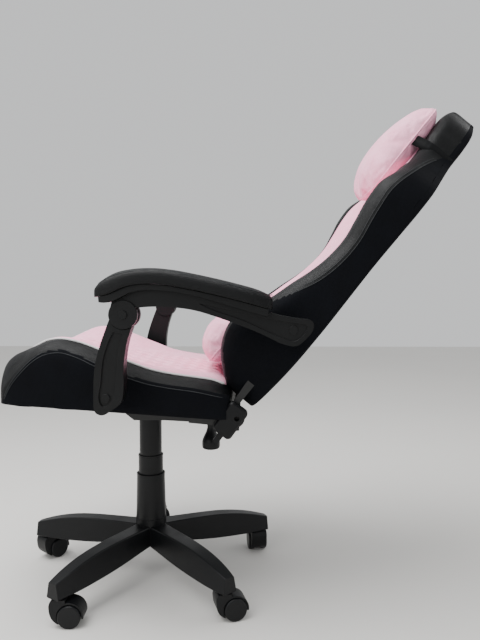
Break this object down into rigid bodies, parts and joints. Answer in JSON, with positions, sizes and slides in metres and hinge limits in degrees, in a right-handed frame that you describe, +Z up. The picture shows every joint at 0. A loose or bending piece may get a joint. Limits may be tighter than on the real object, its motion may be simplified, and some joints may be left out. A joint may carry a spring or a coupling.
{
  "type": "gaming chair",
  "caption": "Reclining high-back gaming chair on a five-star swivel base with gas lift, rocking seat and armrests linked to the back.",
  "frame": {"origin": "on the floor, on the gas lift's axis", "axes": "+Z up; -Y is the way the sitter faces; +X is the sitter's left"},
  "size_m": [0.68, 1.0609, 1.1355],
  "materials": {
    "moulded_nylon_black": "textured glass-filled nylon",
    "wheel_nylon": "smooth nylon",
    "zinc_steel": "zinc plated",
    "black_steel": "black powder coat",
    "satin_plastic_black": "satin moulded",
    "bolt_black": "black oxide",
    "leather_black": "coated artificial leather",
    "fabric_black": "woven",
    "fabric_pink": "short-nap woven"
  },
  "bodies": {
    "base": {"star_base": "moulded_nylon_black", "caster_stems": "zinc_steel", "lift_outer_tube": "black_steel", "lift_bearings": "zinc_steel", "cover_lower": "satin_plastic_black"},
    "lift_rod": {"lift_rod": "zinc_steel"},
    "cover_middle": {"cover_middle": "satin_plastic_black"},
    "housing": {"tilt_housing": "black_steel", "lift_cylinder": "black_steel", "cover_upper": "satin_plastic_black", "tilt_spring": "black_steel"},
    "tension_knob": {"tension_knob": "satin_plastic_black"},
    "valve_pin": {"lift_valve_pin": "zinc_steel"},
    "lift_lever": {"lift_lever": "black_steel", "lift_lever_paddle": "satin_plastic_black"},
    "seat": {"seat_plate": "black_steel", "mechanism_fasteners": "zinc_steel", "seat_frame": "black_steel", "seat_webbing": "fabric_black", "seat_cushion_black": "leather_black", "seat_cushion_pink": "fabric_pink", "recliner_seat_plates": "black_steel", "recliner_covers": "satin_plastic_black", "link_bolts": "bolt_black"},
    "recline_lever": {"recline_lever": "black_steel", "recline_grip": "satin_plastic_black"},
    "back": {"back_frame": "black_steel", "back_cushion_black": "leather_black", "back_cushion_pink": "fabric_pink", "back_cover_rear": "fabric_black", "recliner_back_plates": "black_steel", "head_pillow": "fabric_pink", "head_strap": "fabric_pink", "arm_rear_mounts": "bolt_black"},
    "lumbar_pillow": {"lumbar_pillow": "fabric_pink"},
    "link_left": {"arm_link_left": "satin_plastic_black"},
    "link_right": {"arm_link_right": "satin_plastic_black"},
    "arm_left": {"arm_frame_left": "satin_plastic_black", "arm_pad_left": "leather_black"},
    "arm_right": {"arm_frame_right": "satin_plastic_black", "arm_pad_right": "leather_black"},
    "caster_1": {"caster_1_hood": "moulded_nylon_black"},
    "wheel_1a": {"caster_1_wheel_a": "wheel_nylon"},
    "wheel_1b": {"caster_1_wheel_b": "wheel_nylon"},
    "caster_2": {"caster_2_hood": "moulded_nylon_black"},
    "wheel_2a": {"caster_2_wheel_a": "wheel_nylon"},
    "wheel_2b": {"caster_2_wheel_b": "wheel_nylon"},
    "caster_3": {"caster_3_hood": "moulded_nylon_black"},
    "wheel_3a": {"caster_3_wheel_a": "wheel_nylon"},
    "wheel_3b": {"caster_3_wheel_b": "wheel_nylon"},
    "caster_4": {"caster_4_hood": "moulded_nylon_black"},
    "wheel_4a": {"caster_4_wheel_a": "wheel_nylon"},
    "wheel_4b": {"caster_4_wheel_b": "wheel_nylon"},
    "caster_5": {"caster_5_hood": "moulded_nylon_black"},
    "wheel_5a": {"caster_5_wheel_a": "wheel_nylon"},
    "wheel_5b": {"caster_5_wheel_b": "wheel_nylon"}
  },
  "joints": [
    {"name": "seat_swivel", "type": "hinge", "parent": "base", "child": "lift_rod", "pos_m": [0, 0, 0.2], "axis": [0, 0, 1], "continuous": true},
    {"name": "seat_height", "type": "slide", "parent": "lift_rod", "child": "housing", "axis": [0, 0, -1], "range_m": [0, 0.07]},
    {"name": "cover_slide", "type": "slide", "parent": "lift_rod", "child": "cover_middle", "axis": [0, 0, -1], "range_m": [0, 0.036]},
    {"name": "knob_turn", "type": "hinge", "parent": "housing", "child": "tension_knob", "pos_m": [0, 0.152, 0.35], "axis": [0, 0, 1], "continuous": true},
    {"name": "valve_press", "type": "slide", "parent": "housing", "child": "valve_pin", "axis": [0, 0, -1], "range_m": [0, 0.0036], "stiffness_N_per_m": 2000, "springref_m": -0.001},
    {"name": "lift_lever_pull", "type": "hinge", "parent": "housing", "child": "lift_lever", "pos_m": [-0.024, 0.016, 0.431], "axis": [0, 1, 0], "range_deg": [0, 8], "stiffness_Nm_per_rad": 12, "springref_deg": -6.88},
    {"name": "seat_rock", "type": "hinge", "parent": "housing", "child": "seat", "pos_m": [0, -0.07, 0.431], "axis": [-1, 0, 0], "range_deg": [0, 3], "stiffness_Nm_per_rad": 2500, "springref_deg": -4.58, "deforming": ["tilt_spring"]},
    {"name": "recline", "type": "hinge", "parent": "seat", "child": "back", "pos_m": [0, 0.222, 0.44], "axis": [1, 0, 0], "range_deg": [0, 30]},
    {"name": "recline_lever_pull", "type": "hinge", "parent": "seat", "child": "recline_lever", "pos_m": [0, 0.222, 0.44], "axis": [-1, 0, 0], "range_deg": [0, 25], "stiffness_Nm_per_rad": 3, "springref_deg": -17.19},
    {"name": "lumbar_slide", "type": "slide", "parent": "back", "child": "lumbar_pillow", "axis": [0, 0.6293, 0.7771], "range_m": [0, 0.045]},
    {"name": "link_left_swing", "type": "hinge", "parent": "seat", "child": "link_left", "pos_m": [0.3, -0.037, 0.496], "axis": [1, 0, 0], "range_deg": [-0.5, 39]},
    {"name": "arm_left_swing", "type": "hinge", "parent": "link_left", "child": "arm_left", "pos_m": [0.3, 0, 0.662], "axis": [-1, 0, 0], "range_deg": [-0.5, 32]},
    {"name": "link_right_swing", "type": "hinge", "parent": "seat", "child": "link_right", "pos_m": [-0.3, -0.037, 0.496], "axis": [1, 0, 0], "range_deg": [-0.5, 39]},
    {"name": "arm_right_swing", "type": "hinge", "parent": "link_right", "child": "arm_right", "pos_m": [-0.3, 0, 0.662], "axis": [-1, 0, 0], "range_deg": [-0.5, 32]},
    {"name": "caster_1_swivel", "type": "hinge", "parent": "base", "child": "caster_1", "pos_m": [0.22331, 0.19276, 0.05], "axis": [0, 0, 1], "continuous": true},
    {"name": "wheel_1a_roll", "type": "hinge", "parent": "caster_1", "child": "wheel_1a", "pos_m": [0.21725, 0.21391, 0.025], "axis": [-0.9613, -0.2756, 0], "continuous": true},
    {"name": "wheel_1b_roll", "type": "hinge", "parent": "caster_1", "child": "wheel_1b", "pos_m": [0.21725, 0.21391, 0.025], "axis": [-0.9613, -0.2756, 0], "continuous": true},
    {"name": "caster_2_swivel", "type": "hinge", "parent": "base", "child": "caster_2", "pos_m": [-0.11432, 0.27195, 0.05], "axis": [0, 0, 1], "continuous": true},
    {"name": "wheel_2a_roll", "type": "hinge", "parent": "caster_2", "child": "wheel_2a", "pos_m": [-0.13598, 0.26813, 0.025], "axis": [0.1736, -0.9848, 0], "continuous": true},
    {"name": "wheel_2b_roll", "type": "hinge", "parent": "caster_2", "child": "wheel_2b", "pos_m": [-0.13598, 0.26813, 0.025], "axis": [0.1736, -0.9848, 0], "continuous": true},
    {"name": "caster_3_swivel", "type": "hinge", "parent": "base", "child": "caster_3", "pos_m": [-0.29396, -0.02468, 0.05], "axis": [0, 0, 1], "continuous": true},
    {"name": "wheel_3a_roll", "type": "hinge", "parent": "caster_3", "child": "wheel_3a", "pos_m": [-0.27329, -0.01716, 0.025], "axis": [-0.342, 0.9397, 0], "continuous": true},
    {"name": "wheel_3b_roll", "type": "hinge", "parent": "caster_3", "child": "wheel_3b", "pos_m": [-0.27329, -0.01716, 0.025], "axis": [-0.342, 0.9397, 0], "continuous": true},
    {"name": "caster_4_swivel", "type": "hinge", "parent": "base", "child": "caster_4", "pos_m": [-0.06736, -0.28721, 0.05], "axis": [0, 0, 1], "continuous": true},
    {"name": "wheel_4a_roll", "type": "hinge", "parent": "caster_4", "child": "wheel_4a", "pos_m": [-0.08422, -0.27306, 0.025], "axis": [-0.6428, -0.766, 0], "continuous": true},
    {"name": "wheel_4b_roll", "type": "hinge", "parent": "caster_4", "child": "wheel_4b", "pos_m": [-0.08422, -0.27306, 0.025], "axis": [-0.6428, -0.766, 0], "continuous": true},
    {"name": "caster_5_swivel", "type": "hinge", "parent": "base", "child": "caster_5", "pos_m": [0.25233, -0.15282, 0.05], "axis": [0, 0, 1], "continuous": true},
    {"name": "wheel_5a_roll", "type": "hinge", "parent": "caster_5", "child": "wheel_5a", "pos_m": [0.25156, -0.13083, 0.025], "axis": [-0.9994, -0.0349, 0], "continuous": true},
    {"name": "wheel_5b_roll", "type": "hinge", "parent": "caster_5", "child": "wheel_5b", "pos_m": [0.25156, -0.13083, 0.025], "axis": [-0.9994, -0.0349, 0], "continuous": true}
  ],
  "couplings": [
    {"joint": "cover_slide", "follows": "seat_height", "ratio": 0.5},
    {"joint": "valve_press", "follows": "lift_lever_pull", "m_per_rad": 0.0248},
    {"joint": "lumbar_slide", "follows": "recline", "m_per_rad": 0.0764},
    {"joint": "link_left_swing", "follows": "recline", "ratio": 1.28},
    {"joint": "arm_left_swing", "follows": "recline", "ratio": 1.04},
    {"joint": "link_right_swing", "follows": "recline", "ratio": 1.28},
    {"joint": "arm_right_swing", "follows": "recline", "ratio": 1.04}
  ]
}
